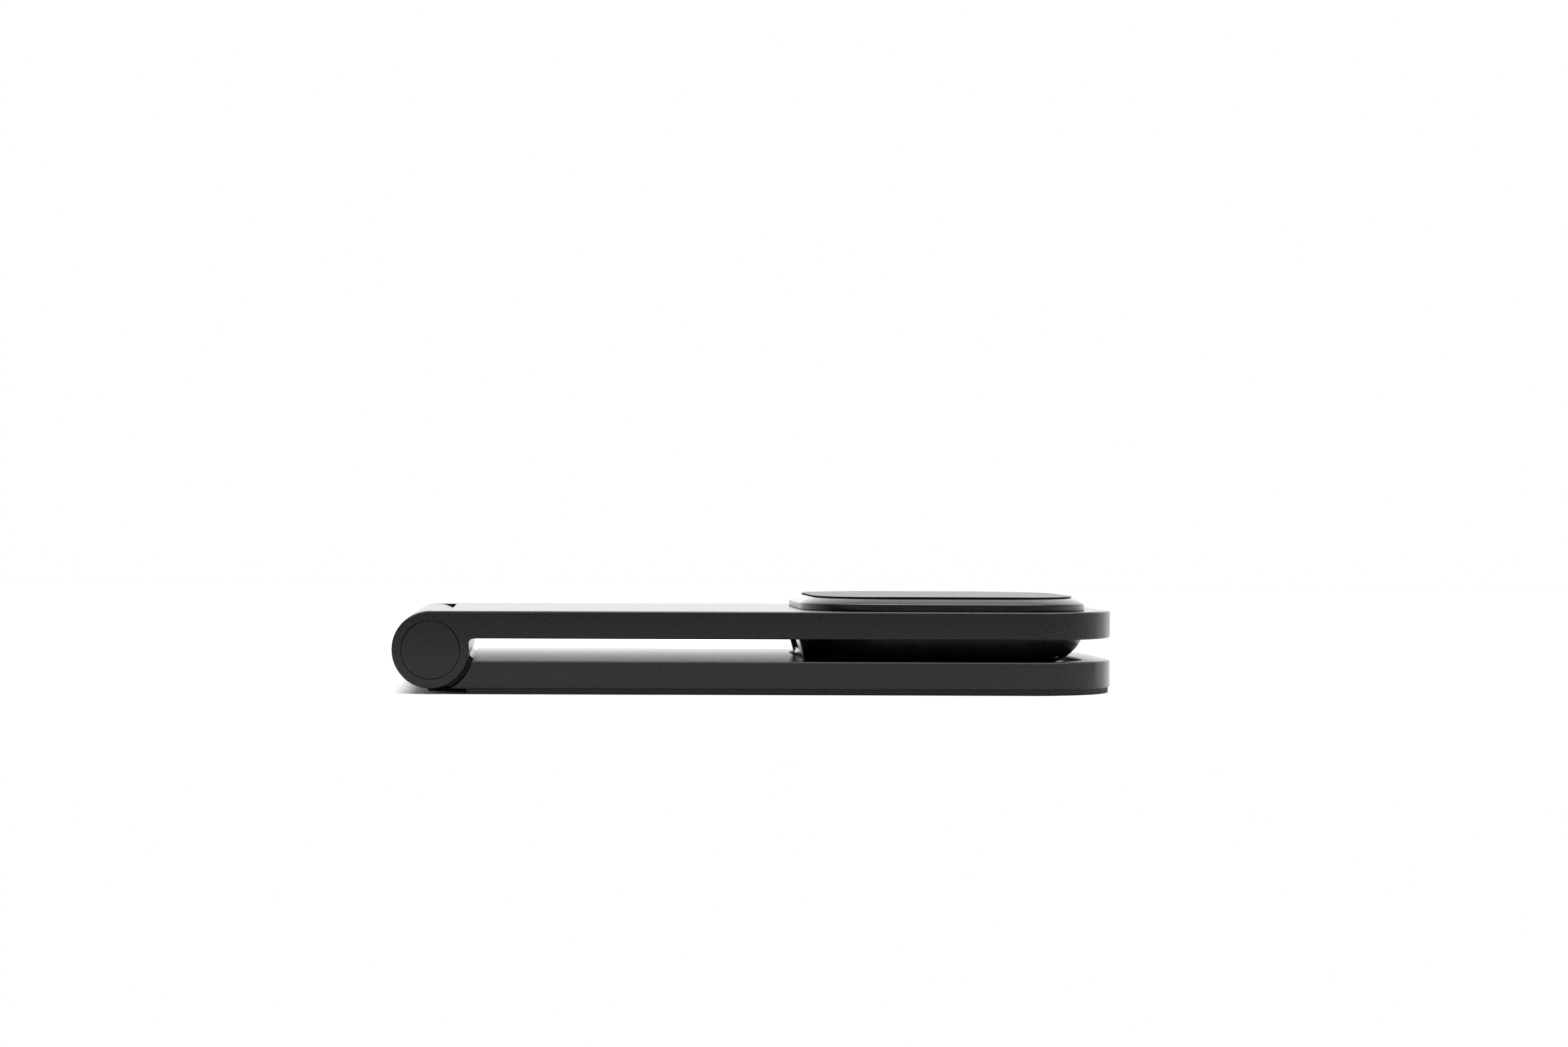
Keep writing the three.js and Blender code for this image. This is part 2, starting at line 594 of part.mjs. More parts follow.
function puckBowl() {
  const rim = ARM_Z0 - SKIN;
  const inner = SPIGOT_HALF - SPIGOT_WALL;
  const front = ARM_REACH - BOWL_HALF;
  const fairing = cut(
    alongX(portOval(PORT_BOSS_W, PORT_BOSS_H), front, front + BOWL_FILLET_W),
    block(0, END_X, -HALF_WIDTH, HALF_WIDTH, rim, HINGE_R),
  );
  const shell = cut(
    union(
      loft(bowlLevels(BOWL_Z0, rim, BOWL_FLOOR_HALF, BOWL_HALF)),
      puckPrism(SPIGOT_HALF, rim - 1, SPIGOT_SPLIT - SKIN),
      fairing,
    ),
    loft(bowlLevels(BOWL_FLOOR, rim, BOWL_FLOOR_HALF, inner)),
    puckPrism(inner, rim - SKIN, SPIGOT_SPLIT + 1),
  );
  const bosses = postPlaces().map(([x, y]) => post(x, y, SCREW_SEAT - 1, ARM_Z0 + SKIN, POST_R));
  const recesses = postPlaces().flatMap(([x, y]) => [
    post(x, y, BOWL_Z0 - 1, SCREW_SEAT, SCREW_HEAD_R + INNER_CLEARANCE),
    post(x, y, BOWL_Z0, ARM_Z0 + 1, SCREW_R + INNER_CLEARANCE),
  ]);
  const port = alongX(portOutline(PORT_W + 2 * PORT_FIT, PORT_H + 2 * PORT_FIT), front - 1, boardNose() + 4);
  const tonguePocket = block(
    boardNose() - PORT_FIT,
    ARM_REACH - BOWL_FLOOR_HALF + 1,
    -BOARD_NOSE_HALF - PORT_FIT,
    BOARD_NOSE_HALF + PORT_FIT,
    BOWL_FLOOR,
    PORT_Z,
  );
  return cut(union(shell, ...bosses), ...recesses, port, tonguePocket);
}

const BOARD_NOSE_HALF = PORT_W / 2 + 0.65; // the board's tongue under the port

function boardNose() {
  return ARM_REACH - BOWL_FLOOR_HALF - PORT_H - 2 * PORT_FIT;
}

function circuitBoard() {
  const z0 = BOARD_TOP - BOARD_T;
  const body = puckPrism(BOWL_FLOOR_HALF + BOARD_SPREAD, z0, BOARD_TOP);
  const nose = block(boardNose(), ARM_REACH, -BOARD_NOSE_HALF, BOARD_NOSE_HALF, z0, BOARD_TOP);
  return union(body, nose);
}

function shieldCan() {
  const z0 = BOARD_TOP + SKIN;
  const side = BOWL_FLOOR_HALF / 2;
  const shape = outline(ARM_REACH - side, ARM_REACH + side, side, 1);
  const top = outline(ARM_REACH - side + 0.3, ARM_REACH + side - 0.3, side - 0.3, 0.7);
  return loft([
    [z0, shape],
    [z0 + 1.5, shape],
    [z0 + 1.8, top],
  ]);
}

function usbShell() {
  const x0 = ARM_REACH - BOWL_HALF + PORT_FIT;
  const outer = alongX(portOutline(PORT_W, PORT_H), x0, x0 + PORT_DEPTH + 1);
  const mouth = portOutline(PORT_W - 2 * PORT_WALL, PORT_H - 2 * PORT_WALL);
  return cut(outer, alongX(mouth, x0 - 1, x0 + PORT_DEPTH));
}

function usbTongue() {
  const x0 = ARM_REACH - BOWL_HALF + PORT_FIT;
  const half = PORT_W / 2 - 4 * PORT_WALL;
  const t = PORT_TONGUE_T / 2;
  return block(x0 + 1, x0 + PORT_DEPTH - SKIN, -half, half, PORT_Z - t, PORT_Z + t);
}

const RING_TOP = CEILING_Z - INNER_CLEARANCE / 2;
const YOKE_TOP = RING_TOP - RING_T - SKIN;
const CARRIER_TOP = YOKE_TOP - YOKE_T - SKIN;
const COIL_R = RING_R - RING_W - 2 * INNER_CLEARANCE;

function magnetRing() {
  return upright({ inner: RING_R - RING_W, outer: RING_R, z0: RING_TOP - RING_T, z1: RING_TOP }, ARM_REACH);
}

function magnetYoke() {
  return upright({ inner: RING_R - RING_W, outer: RING_R, z0: YOKE_TOP - YOKE_T, z1: YOKE_TOP }, ARM_REACH);
}

function chargingCoil() {
  return upright({ inner: COIL_HOLE_R, outer: COIL_R, z0: RING_TOP - COIL_T, z1: RING_TOP }, ARM_REACH);
}

function ferriteShield() {
  const z1 = RING_TOP - COIL_T - SKIN;
  return upright({ inner: SHAFT_R, outer: COIL_R, z0: z1 - SHIELD_T, z1 }, ARM_REACH);
}

function coilCarrier() {
  const half = SPIGOT_HALF - SPIGOT_WALL - INNER_CLEARANCE;
  const gaps = postPlaces().map(([x, y]) =>
    post(x, y, CARRIER_TOP - CARRIER_T - 1, CARRIER_TOP + 1, POST_R + INNER_CLEARANCE),
  );
  return cut(puckPrism(half, CARRIER_TOP - CARRIER_T, CARRIER_TOP), ...gaps);
}

function puckScrew([x, y]) {
  const headZ = SCREW_SEAT - SKIN;
  return union(
    post(x, y, headZ - SCREW_HEAD_T, headZ, SCREW_HEAD_R),
    post(x, y, headZ - SKIN, ARM_Z0 + SCREW_GRIP, SCREW_R),
  );
}

// ---------------------------------------------------------------- materials

function material(color, roughness, metalness) {
  return new THREE.MeshStandardMaterial({ color, roughness, metalness });
}

const anodised = material(0x3c3d3f, 0.5, 0.9);
const solePolymer = material(0x1b1b1c, 0.9, 0);
const linerElastomer = material(0x4a4a4b, 0.95, 0);
const steel = material(0x9a9c9e, 0.35, 1);
const blackSteel = material(0x1c1c1d, 0.4, 1);
const bronze = material(0xa9844a, 0.4, 1);
const housingPlastic = material(0x1a1a1c, 0.35, 0);
const bowlPlastic = material(0x101012, 0.3, 0);
const padSilicone = material(0x2a2a2c, 0.45, 0);
const magnetNickel = material(0xb0b2b4, 0.3, 1);
const copper = material(0xb56a3c, 0.4, 1);
const ferrite = material(0x3a3836, 0.8, 0);
const boardGreen = material(0x1f4a33, 0.6, 0);

// ---------------------------------------------------------------- assembly

const base = new THREE.Group(); // stands still
const arm = new THREE.Group(); // turns about the hinge axis, its own Y axis
base.position.set(HINGE_R - LENGTH / 2, 0, 0);
arm.position.set(HINGE_R - LENGTH / 2, 0, HINGE_Z);

function add(group, name, made, look) {
  const mesh = new THREE.Mesh(geometryOf(made), look);
  mesh.name = name;
  group.add(mesh);
  return mesh;
}

add(base, "base_plate", basePlate(), anodised);
add(base, "base_sole", baseSole(), solePolymer);
add(base, "pocket_liner", pocketLiner(), linerElastomer);
add(base, "ballast_plate", ballastPlate(), steel);
ballastScrewPlaces().forEach((place, i) =>
  add(base, `ballast_screw_${i + 1}`, ballastScrew(place), steel),
);
add(base, "hinge_shaft", hingeShaft(), steel).position.z = HINGE_Z;
[GRUB_INSET - KNUCKLE_HALF, KNUCKLE_HALF - GRUB_INSET].forEach((y, i) => {
  add(base, `shaft_grub_screw_${i + 1}`, grubScrew(y), steel).position.z = HINGE_Z;
});

for (const [end, side] of [["near", -1], ["far", 1]]) {
  add(base, `shaft_clip_${end}`, shaftClip(side), steel).position.z = HINGE_Z;
  add(arm, `thrust_washer_${end}`, thrustWasher(side), bronze);
  add(arm, `friction_sleeve_${end}`, frictionSleeve(side), bronze);
  add(arm, `hinge_cap_${end}`, hingeCap(side), anodised);
}

add(arm, "arm_plate", armPlate(), anodised);
add(arm, "puck_top_housing", puckTopHousing(), housingPlastic);
add(arm, "puck_bowl", puckBowl(), bowlPlastic);
add(arm, "puck_pad", puckPad(), padSilicone);
add(arm, "magnet_ring", magnetRing(), magnetNickel);
add(arm, "magnet_yoke", magnetYoke(), steel);
add(arm, "charging_coil", chargingCoil(), copper);
add(arm, "ferrite_shield", ferriteShield(), ferrite);
add(arm, "coil_carrier", coilCarrier(), housingPlastic);
add(arm, "circuit_board", circuitBoard(), boardGreen);
add(arm, "shield_can", shieldCan(), steel);
add(arm, "usb_c_shell", usbShell(), steel);
add(arm, "usb_c_tongue", usbTongue(), housingPlastic);
postPlaces().forEach((place, i) => add(arm, `puck_screw_${i + 1}`, puckScrew(place), blackSteel));

const stand = new THREE.Group();
stand.add(base, arm);
export default stand;
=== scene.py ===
"""A compact folding stand: two anodised plates on a barrel hinge, with a charging puck clamped in the arm."""

import json
import math

import bmesh
import bpy
from mathutils import Matrix, Vector


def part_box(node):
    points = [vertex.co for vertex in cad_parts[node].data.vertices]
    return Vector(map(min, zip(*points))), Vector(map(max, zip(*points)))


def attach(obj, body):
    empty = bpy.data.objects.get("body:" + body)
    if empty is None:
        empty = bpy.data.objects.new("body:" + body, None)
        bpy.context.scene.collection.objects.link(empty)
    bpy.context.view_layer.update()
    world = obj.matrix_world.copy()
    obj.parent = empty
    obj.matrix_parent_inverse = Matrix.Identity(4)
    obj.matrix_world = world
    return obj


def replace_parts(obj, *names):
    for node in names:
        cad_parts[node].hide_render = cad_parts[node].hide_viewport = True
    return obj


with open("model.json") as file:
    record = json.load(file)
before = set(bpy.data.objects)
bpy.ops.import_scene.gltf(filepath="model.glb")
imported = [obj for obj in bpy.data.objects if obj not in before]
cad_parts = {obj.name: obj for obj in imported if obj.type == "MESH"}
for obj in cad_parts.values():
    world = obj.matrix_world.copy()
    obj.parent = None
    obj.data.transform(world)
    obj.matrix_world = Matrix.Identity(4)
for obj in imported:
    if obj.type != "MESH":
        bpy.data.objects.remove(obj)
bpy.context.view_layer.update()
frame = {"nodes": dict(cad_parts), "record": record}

MM = 0.001
HARD_EDGE = math.radians(20)
NODES = frame["nodes"]

# ------------------------------------------------------------------ sizes of what Blender shapes afresh
SEAM = 0.05 * MM  # between pieces that meet
PLATE_T = 5.7 * MM  # both plates
PLATE_EDGE_BREAK = 0.05 * MM  # rounding of the chamfers' own edges on both plates
CAP_EDGE_BREAK = 0.18 * MM  # rounding of the hinge caps' edges
RIM_BREAK = 0.15 * MM  # softer rims: round the pocket, and the upper shell's foot and recess
RIM_SEARCH = 3 * MM  # the pocket's rim lies within this of its liner
PUCK_CORNER = 18 * MM  # plan corner of the puck's top shell
SMALLEST_CORNER = 0.5 * MM  # where a ring of the puck is too small for that corner
SHELL_SIDE = 1.42 * MM  # upright side of the top shell
SHELL_SLOPE = 2.8 * MM  # width of the slope between side and pad
SHELL_CREST = 0.3 * MM  # rounding where the side turns into the slope
SLOPE_BULGE = 0.56  # height of the point that steers the slope's curve, as a share of its rise
MAGNET_GAP = 0.2 * MM  # from the magnets to the collars of both shells
COLLAR_T = 1.2 * MM  # the collars' wall
COLLAR_ROUND = 0.2 * MM  # rounding of their ends
PAD_LIP = 2 * MM  # how far the pad's lip reaches beyond its plug
PAD_EDGE_BREAKS = (0.05 * MM, 0.1 * MM)  # rounding of the lip's lower and upper edge
PAD_FLAT = 0.8 * MM  # from the lip's edge to the first of the rings that carry the sag
PAD_RINGS = (0.1, 0.3, 0.5, 0.7, 0.9)  # where those rings lie, towards the middle
PAD_SAG = 0.16 * MM  # how far the pad's corners hang below the middle of its sides
BOWL_LEAN = 2.3 * MM  # how far the bowl's side leans in from rim to bottom
BOWL_ROUND = 6.6 * MM  # width of the bowl's rounded bottom edge
FAIRING_HALF = 12 * MM  # half width of the fairing round the port
FAIRING_LEAN = 0.28  # how much its face leans in, per height
FAIRING_DEPTH = 9 * MM  # how far it reaches into the bowl
FAIRING_OUT = 0.5 * MM  # how far its upper edge stands out beyond the bowl
FAIRING_FOOT = 0.2 * MM  # its lower end above the bowl's
FAIRING_ROUND = 0.45  # radius of its lower corners, as a share of its height
BEZEL_T = 0.3 * MM  # the port's bezel, proud of the fairing
BEZEL_SEAM = 0.01 * MM
PORT_FIT = 0.1 * MM  # round the port's shell in the bowl
MOUTH_FIT = 0.02 * MM  # round the port's shell in the bezel
SCREW_BOSS_R, SCREW_RECESS_R, SCREW_BORE_R = 2.3 * MM, 2.0 * MM, 1.3 * MM
SCREW_HEAD_H = 1.25 * MM  # from the screw's lower end to its seat
BOSS_FOOT = 0.1 * MM  # the boss starts this far above the screw's end
CORNER_FACETS = 20  # steps round a plan corner
SLOPE_FACETS = 12  # steps up the slope
BOWL_FACETS = (12, 28)  # steps down the bowl's side, inside and outside

# ------------------------------------------------------------------ the studio
ROOM_LEVELS = (0.12, 2.0)  # the room's brightness in front of the stand and behind it
ROOM_SPREAD = (-0.35, 0.75)  # where that change starts and ends, as the y of a direction
TABLE = (-0.2, 1.1)  # the table's front and back edge along y, metres
TABLE_SIDE = 4.0  # half its width


# ------------------------------------------------------------------ meshes

def new_object(name, bm, smooth_below=30):
    """A mesh object from a bmesh, smooth except across edges sharper than smooth_below degrees."""
    bmesh.ops.recalc_face_normals(bm, faces=bm.faces)
    mesh = bpy.data.meshes.new(name)
    bm.to_mesh(mesh)
    bm.free()
    mesh.shade_smooth()
    mesh.set_sharp_from_angle(angle=math.radians(smooth_below))
    obj = bpy.data.objects.new(name, mesh)
    bpy.context.scene.collection.objects.link(obj)
    return obj


def keep_flats_flat(obj):
    """Normals weighted by area, so that a narrow rounding doesn't bend the shading of the flat beside it."""
    weighted = obj.modifiers.new("flats", "WEIGHTED_NORMAL")
    weighted.mode = "FACE_AREA"
    weighted.keep_sharp = True
    return obj


def round_edges(bm, width, chosen, segments):
    """Rounds the edges of more than HARD_EDGE that chosen accepts."""
    hard = [e for e in bm.edges if len(e.link_faces) == 2 and e.calc_face_angle(0) > HARD_EDGE and chosen(e)]
    bmesh.ops.bevel(
        bm, geom=hard, offset=width, segments=segments, profile=0.5, affect="EDGES", clamp_overlap=True
    )


def finished_copy(node, name, edge_break, soft_rim=None):
    """A CAD node's mesh with its facets merged and every hard edge broken by a small rounding.

    soft_rim accepts the edges that get the wider rounding of a rim.
    """
    bm = bmesh.new()
    bm.from_mesh(NODES[node].data)
    bmesh.ops.remove_doubles(bm, verts=bm.verts, dist=0.001 * MM)
    bmesh.ops.dissolve_limit(bm, angle_limit=math.radians(0.5), verts=bm.verts, edges=bm.edges)
    soft = soft_rim or (lambda edge: False)
    round_edges(bm, edge_break, lambda edge: not soft(edge), 2)
    if soft_rim:
        round_edges(bm, RIM_BREAK, soft_rim, 3)
    obj = keep_flats_flat(new_object(name, bm, 25))
    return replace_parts(obj, node)


def corner_arc(prev, here, after, radius, steps=5):
    """The corner `here` of an open profile, rounded: points on a curve tangent to both its sides."""
    a, b = (prev - here).normalized(), (after - here).normalized()
    half = a.angle(b) / 2
    reach = min(radius / math.tan(half), (prev - here).length * 0.45, (after - here).length * 0.45)
    start, end = here + a * reach, here + b * reach
    arc = []
    for i in range(steps + 1):
        t = i / steps
        arc.append(start * (1 - t) ** 2 + here * 2 * t * (1 - t) + end * t ** 2)
    return arc


def rounded_profile(points):
    """A profile given as (half, z, radius) with every corner that has a radius rounded."""
    flat = [Vector((h, z)) for h, z, _ in points]
    out = []
    for i, (h, z, radius) in enumerate(points):
        if radius and 0 < i < len(points) - 1:
            out += corner_arc(flat[i - 1], flat[i], flat[i + 1], radius)
        else:
            out.append(flat[i])
    return out


def rounded_square(centre, half, spread):
    """Points of a rounded square, anticlockwise; its corner arcs' centres lie `spread` out in x and y."""
    inner = min(spread, half - SMALLEST_CORNER)
    r = half - inner
    points = []
    for k, (sx, sy) in enumerate(((1, -1), (1, 1), (-1, 1), (-1, -1))):
        for i in range(CORNER_FACETS + 1):
            a = math.pi / 2 * (k - 1 + i / CORNER_FACETS)
            points.append((centre.x + sx * inner + r * math.cos(a), centre.y + sy * inner + r * math.sin(a)))
    return points


def square_body(bm, centre, profile, spread, lift=None):
    """Carries a profile of (half, z) round a rounded square, and closes it at both ends.

    lift gives how far a point is raised.
    """
    rings = []
    for half, z in profile:
        ring = []
        for x, y in rounded_square(centre, half, spread):
            ring.append(bm.verts.new((x, y, z + (lift(x, y, z) if lift else 0))))
        rings.append(ring)
    for low, high in zip(rings, rings[1:]):
        for i in range(len(low)):
            j = (i + 1) % len(low)
            bm.faces.new((low[i], low[j], high[j], high[i]))
    bm.faces.new(reversed(rings[0]))
    bm.faces.new(rings[-1])


def boolean(obj, tool, operation):
    """Joins or cuts obj with tool, in place, and removes tool."""
    modifier = obj.modifiers.new(operation, "BOOLEAN")
    modifier.operation = operation
    modifier.object = tool
    modifier.solver = "EXACT"
    bpy.context.view_layer.update()
    made = bpy.data.meshes.new_from_object(obj.evaluated_get(bpy.context.evaluated_depsgraph_get()))
    obj.modifiers.clear()
    obj.data = made
    bpy.data.objects.remove(tool)
    return obj


def prism_along_x(name, outline, x0, x1):
    """A prism from a list of (y, z) points."""
    bm = bmesh.new()
    ends = [[bm.verts.new((x, y, z)) for y, z in outline] for x in (x0, x1)]
    for i in range(len(outline)):
        j = (i + 1) % len(outline)
        bm.faces.new((ends[0][i], ends[0][j], ends[1][j], ends[1][i]))
    bm.faces.new(reversed(ends[0]))
    bm.faces.new(ends[1])
    return new_object(name, bm)


def cylinder(name, centre, radius, z0, z1):
    """An upright cylinder about centre, from height z0 to z1."""
    bm = bmesh.new()
    place = Matrix.Translation((centre[0], centre[1], (z0 + z1) / 2))
    bmesh.ops.create_cone(
        bm, cap_ends=True, segments=48, radius1=radius, radius2=radius, depth=z1 - z0, matrix=place
    )
    return new_object(name, bm)


# ------------------------------------------------------------------ materials

def material(name, color, roughness, metallic=0.0):
    """A plain material to build on."""
    mat = bpy.data.materials.new(name)
    mat.use_nodes = True
    shader = shader_of(mat)
    shader.inputs["Base Color"].default_value = (*color, 1)
    shader.inputs["Roughness"].default_value = roughness
    shader.inputs["Metallic"].default_value = metallic
    return mat


def shader_of(mat):
    return mat.node_tree.nodes["Principled BSDF"]


def node(mat, kind, **values):
    """A node of that kind; values name its input sockets or its settings."""
    made = mat.node_tree.nodes.new(kind)
    for key, value in values.items():
        if key in made.inputs:
            made.inputs[key].default_value = value
        else:
            setattr(made, key, value)
    return made


def link(mat, source, output, target, socket):
    mat.node_tree.links.new(source.outputs[output], target.inputs[socket])


def noise(mat, scale, detail):
    """Noise in the object's own metres, so scale is in features per metre."""
    place = node(mat, "ShaderNodeTexCoord")
    made = node(mat, "ShaderNodeTexNoise", Scale=scale, Detail=detail, Roughness=0.5)
    link(mat, place, "Object", made, "Vector")
    return made


def ranged(mat, source, low, high, output="Fac", frm=(0.3, 0.7)):
    """Maps the source's output from the range frm to low and high."""
    made = node(mat, "ShaderNodeMapRange")
    for socket, value in zip(("From Min", "From Max", "To Min", "To Max"), (*frm, low, high)):
        made.inputs[socket].default_value = value
    link(mat, source, output, made, "Value")
    return made


def grained(mat, scale, depth, strength, detail=2.0):
    """A fine bump of that many grains per metre and that depth."""
    shader = shader_of(mat)
    bump = node(mat, "ShaderNodeBump", Strength=strength, Distance=depth)
    link(mat, noise(mat, scale, detail), "Fac", bump, "Height")
    link(mat, bump, "Normal", shader, "Normal")
    return mat


def varied(mat, scale, color_a, color_b, rough=None, detail=3.0):
    """Colour, and if wanted roughness, that drift between two values."""
    shader = shader_of(mat)
    cloud = noise(mat, scale, detail)
    mix = node(mat, "ShaderNodeMix", data_type="RGBA")
    mix.inputs["A"].default_value = (*color_a, 1)
    mix.inputs["B"].default_value = (*color_b, 1)
    link(mat, ranged(mat, cloud, 0, 1), "Result", mix, "Factor")
    link(mat, mix, "Result", shader, "Base Color")
    if rough:
        link(mat, ranged(mat, cloud, *rough), "Result", shader, "Roughness")
    return mat


def anodised_aluminium():
    """Bead-blasted and dark anodised: a fine grain that glints, and slightly uneven dye."""
    mat = material("anodised_aluminium", (0.03, 0.03, 0.031), 0.3, 1.0)
    varied(mat, 5200, (0.021, 0.021, 0.022), (0.042, 0.042, 0.0435), (0.25, 0.35), detail=1.0)
    return grained(mat, 4200, 0.018 * MM, 0.6, detail=1.5)


def sole_rubber():
    mat = material("sole_rubber", (0.012, 0.012, 0.0125), 0.78)
    varied(mat, 900, (0.009, 0.009, 0.0095), (0.017, 0.017, 0.0175), (0.7, 0.88))
    return grained(mat, 2600, 0.03 * MM, 0.5)


def liner_elastomer():
    mat = material("liner_elastomer", (0.05, 0.05, 0.051), 0.85)
    varied(mat, 1500, (0.04, 0.04, 0.041), (0.065, 0.065, 0.066))
    return grained(mat, 1800, 0.04 * MM, 0.8)


def shell_plastic():
    """Moulded satin black, with a fine texture from the mould."""
    mat = material("shell_plastic", (0.004, 0.004, 0.0042), 0.2)
    shader = shader_of(mat)
    shader.inputs["Specular IOR Level"].default_value = 0.4
    varied(mat, 700, (0.0032, 0.0032, 0.0034), (0.0048, 0.0048, 0.005), (0.18, 0.24))
    return grained(mat, 3400, 0.003 * MM, 0.4)


def bowl_plastic():
    """Matt black, with little gloss."""
    mat = material("bowl_plastic", (0.004, 0.004, 0.0045), 0.3)
    shader_of(mat).inputs["Specular IOR Level"].default_value = 0.06
    varied(mat, 700, (0.003, 0.003, 0.0032), (0.005, 0.005, 0.0052), (0.26, 0.36))
    return grained(mat, 3000, 0.006 * MM, 0.4)


def pad_silicone():
    """Soft-touch silicone: a faint sheen and a dry, very fine tooth."""
    mat = material("pad_silicone", (0.03, 0.03, 0.031), 0.5)
    shader = shader_of(mat)
    shader.inputs["Specular IOR Level"].default_value = 0.42
    shader.inputs["Sheen Weight"].default_value = 0.12
    shader.inputs["Sheen Roughness"].default_value = 0.5
    varied(mat, 2400, (0.028, 0.028, 0.029), (0.034, 0.034, 0.035), (0.46, 0.54))
    return grained(mat, 5000, 0.008 * MM, 0.5)


def black_oxide():
    mat = material("black_oxide", (0.02, 0.02, 0.021), 0.4, 1.0)
    varied(mat, 900, (0.015, 0.015, 0.0155), (0.03, 0.03, 0.031), (0.35, 0.5))
    return grained(mat, 2500, 0.01 * MM, 0.4)


def plated_steel():
    mat = material("plated_steel", (0.55, 0.56, 0.58), 0.3, 1.0)
    varied(mat, 600, (0.5, 0.51, 0.53), (0.62, 0.63, 0.65), (0.24, 0.4))
    return grained(mat, 2500, 0.01 * MM, 0.3)


def sintered_bronze():
    mat = material("sintered_bronze", (0.5, 0.36, 0.16), 0.45, 1.0)
    varied(mat, 1800, (0.36, 0.24, 0.1), (0.56, 0.42, 0.2), (0.4, 0.6))
    return grained(mat, 3000, 0.02 * MM, 0.6)


def nickel():
    mat = material("nickel", (0.62, 0.61, 0.59), 0.22, 1.0)
    varied(mat, 500, (0.56, 0.55, 0.53), (0.66, 0.65, 0.63), (0.16, 0.3))
    return grained(mat, 1500, 0.01 * MM, 0.3)


def coil_copper():
    """Wound litz wire: fine concentric turns in the enamel's colour."""
    mat = material("coil_copper", (0.6, 0.3, 0.15), 0.35, 1.0)
    shader = shader_of(mat)
    place = node(mat, "ShaderNodeTexCoord")
    centre = (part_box("charging_coil")[0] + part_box("charging_coil")[1]) / 2
    shifted = node(mat, "ShaderNodeMapping")
    shifted.inputs["Location"].default_value = (-centre.x, -centre.y, 0)
    link(mat, place, "Object", shifted, "Vector")
    turns = node(mat, "ShaderNodeTexWave", wave_type="RINGS", rings_direction="Z", Scale=330.0)
    link(mat, shifted, "Vector", turns, "Vector")
    bump = node(mat, "ShaderNodeBump", Strength=0.8, Distance=0.15 * MM)
    link(mat, turns, "Fac", bump, "Height")
    link(mat, bump, "Normal", shader, "Normal")
    return mat


def ferrite():
    mat = material("ferrite", (0.05, 0.047, 0.043), 0.7)
    varied(mat, 1200, (0.04, 0.037, 0.034), (0.065, 0.06, 0.055))
    return grained(mat, 2500, 0.02 * MM, 0.6)


def solder_mask():
    """Green board: copper under the mask shows as slightly lighter cells."""
    mat = material("solder_mask", (0.02, 0.08, 0.045), 0.35)
    shader = shader_of(mat)
    place = node(mat, "ShaderNodeTexCoord")
    cells = node(mat, "ShaderNodeTexVoronoi", Scale=420.0, distance="MANHATTAN")
    link(mat, place, "Object", cells, "Vector")
    mix = node(mat, "ShaderNodeMix", data_type="RGBA")
    mix.inputs["A"].default_value = (0.012, 0.06, 0.034, 1)
    mix.inputs["B"].default_value = (0.03, 0.12, 0.066, 1)
    link(mat, ranged(mat, cells, 0, 1, "Distance", (0.2, 0.4)), "Result", mix, "Factor")
    link(mat, mix, "Result", shader, "Base Color")
    return mat


def inner_plastic():
    mat = material("inner_plastic", (0.03, 0.03, 0.03), 0.5)
    varied(mat, 800, (0.024, 0.024, 0.024), (0.036, 0.036, 0.036))
    return grained(mat, 2500, 0.02 * MM, 0.4)


ANODISED = anodised_aluminium()
LOOKS = {
    "anodised_aluminium": ANODISED,
    "sole_rubber": sole_rubber(),
    "liner_elastomer": liner_elastomer(),
    "steel": plated_steel(),
    "black_steel": black_oxide(),
    "bronze": sintered_bronze(),
    "housing_plastic": shell_plastic(),
    "inner_plastic": inner_plastic(),
    "bowl_plastic": bowl_plastic(),
    "pad_silicone": pad_silicone(),
    "magnet_nickel": nickel(),
    "coil_copper": coil_copper(),
    "ferrite": ferrite(),
    "board": solder_mask(),
}
SLOT_OF = {part["node"]: part["material_slot"] for part in frame["record"]["subparts"]}


def wear(obj, slot):
    """Gives obj the look of a material slot of the record."""
    obj.data.materials.clear()
    obj.data.materials.append(LOOKS[slot])
    return obj


def dress_cad_nodes():
    """Materials for the CAD nodes, smooth on their rounds and flat on their flats."""
    for name, obj in NODES.items():
        obj.data.materials.clear()
        obj.data.materials.append(LOOKS[SLOT_OF[name]])
        obj.data.shade_smooth()
        obj.data.set_sharp_from_angle(angle=math.radians(25))
        keep_flats_flat(obj)


# ------------------------------------------------------------------ pieces

def plates():
    """Both plates and the hinge caps: the CAD's meshes with their edges broken."""
    low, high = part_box("pocket_liner")
    widest = min(high.y + RIM_SEARCH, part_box("base_plate")[1].y - MM)

    def near_rim(co):
        along = low.x - RIM_SEARCH < co.x < high.x + RIM_SEARCH
        return along and abs(co.y) < widest and co.z > high.z + MM

    def on_pocket_rim(edge):
        return all(near_rim(v.co) for v in edge.verts)

    base = finished_copy("base_plate", "base_body", PLATE_EDGE_BREAK, on_pocket_rim)
    wear(base, "anodised_aluminium")
    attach(base, "base")
    arm = wear(finished_copy("arm_plate", "arm_body", PLATE_EDGE_BREAK), "anodised_aluminium")
    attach(arm, "arm")
    for side in ("near", "far"):
        cap = finished_copy(f"hinge_cap_{side}", f"cap_{side}", CAP_EDGE_BREAK)
        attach(wear(cap, "anodised_aluminium"), "arm")


def puck_centre():
    """The middle of the puck in plan."""
    low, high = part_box("puck_top_housing")
    return (low + high) / 2


def puck_spread():
    """How far out in x and y the centres of the puck's corner arcs lie."""
    low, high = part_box("puck_top_housing")
    return (high.x - low.x) / 2 - PUCK_CORNER


